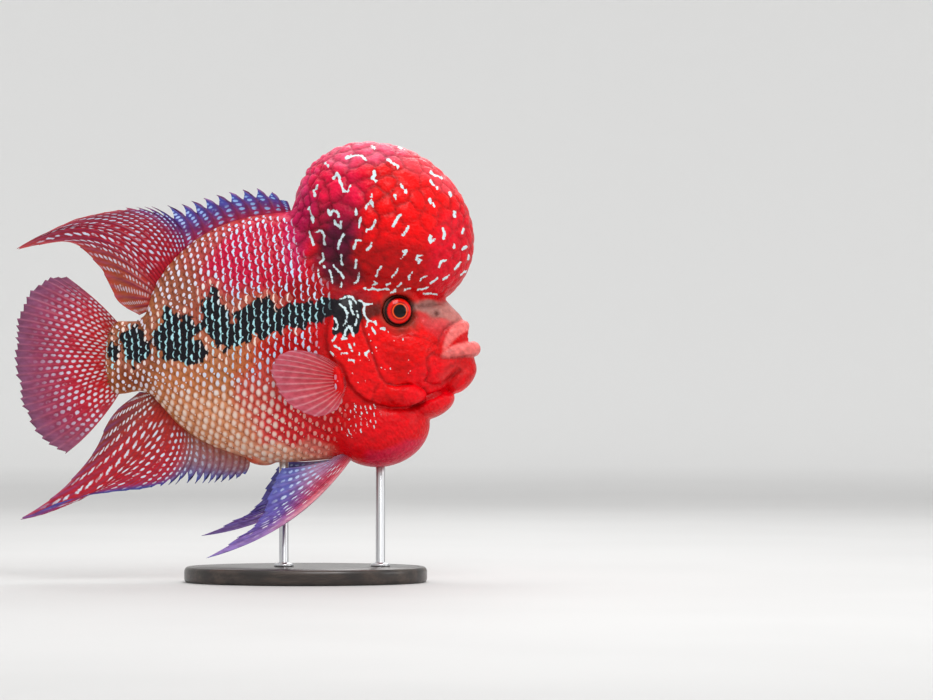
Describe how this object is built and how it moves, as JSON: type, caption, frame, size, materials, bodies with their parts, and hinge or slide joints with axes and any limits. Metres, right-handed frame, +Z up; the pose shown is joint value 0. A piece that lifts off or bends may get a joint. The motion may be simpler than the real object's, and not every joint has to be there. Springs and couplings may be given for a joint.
{
  "type": "flowerhorn cichlid model",
  "caption": "Life-size still model of a flowerhorn cichlid with a large nuchal hump and trailing fins, held level on a plain stand.",
  "frame": {"origin": "on the floor, under the middle of the fish's whole length", "axes": "+X from tail to mouth, +Y towards the fish's left side, +Z up"},
  "size_m": [0.3006, 0.104, 0.2843],
  "materials": {
    "hump_skin": "wet glossy skin, saturated red with a magenta rear and fine pale worm marks",
    "head_skin": "wet glossy skin, red with small white specks, paler and pinker at the snout",
    "flank_skin": "scaled skin, red to orange-tan with pale pearl marks and a row of black blotches",
    "eye": "clear wet cornea over a red iris and a black pupil",
    "lip": "moist pink lips",
    "fin_membrane": "thin dark red membrane with rays, pale blue dashes and blue-violet tips",
    "tail_membrane": "thin red membrane fading to mauve grey at its edge, with pale spots",
    "pectoral_membrane": "almost clear pink membrane with pale rays",
    "stand_base": "satin black stained wood",
    "stand_rod": "brushed steel"
  },
  "bodies": {
    "root": {"nuchal_hump": "hump_skin", "head": "head_skin", "throat": "head_skin", "torso": "flank_skin", "tail_stalk": "flank_skin", "gill_cover_left": "head_skin", "gill_cover_right": "head_skin", "eye_left": "eye", "eye_right": "eye", "upper_lip": "lip", "lower_lip": "lip", "dorsal_fin": "fin_membrane", "anal_fin": "fin_membrane", "caudal_fin": "tail_membrane", "pectoral_fin_left": "pectoral_membrane", "pectoral_fin_right": "pectoral_membrane", "pelvic_fin_left": "fin_membrane", "pelvic_fin_right": "fin_membrane", "stand_base": "stand_base", "stand_rod_front": "stand_rod", "stand_rod_rear": "stand_rod"}
  },
  "joints": []
}
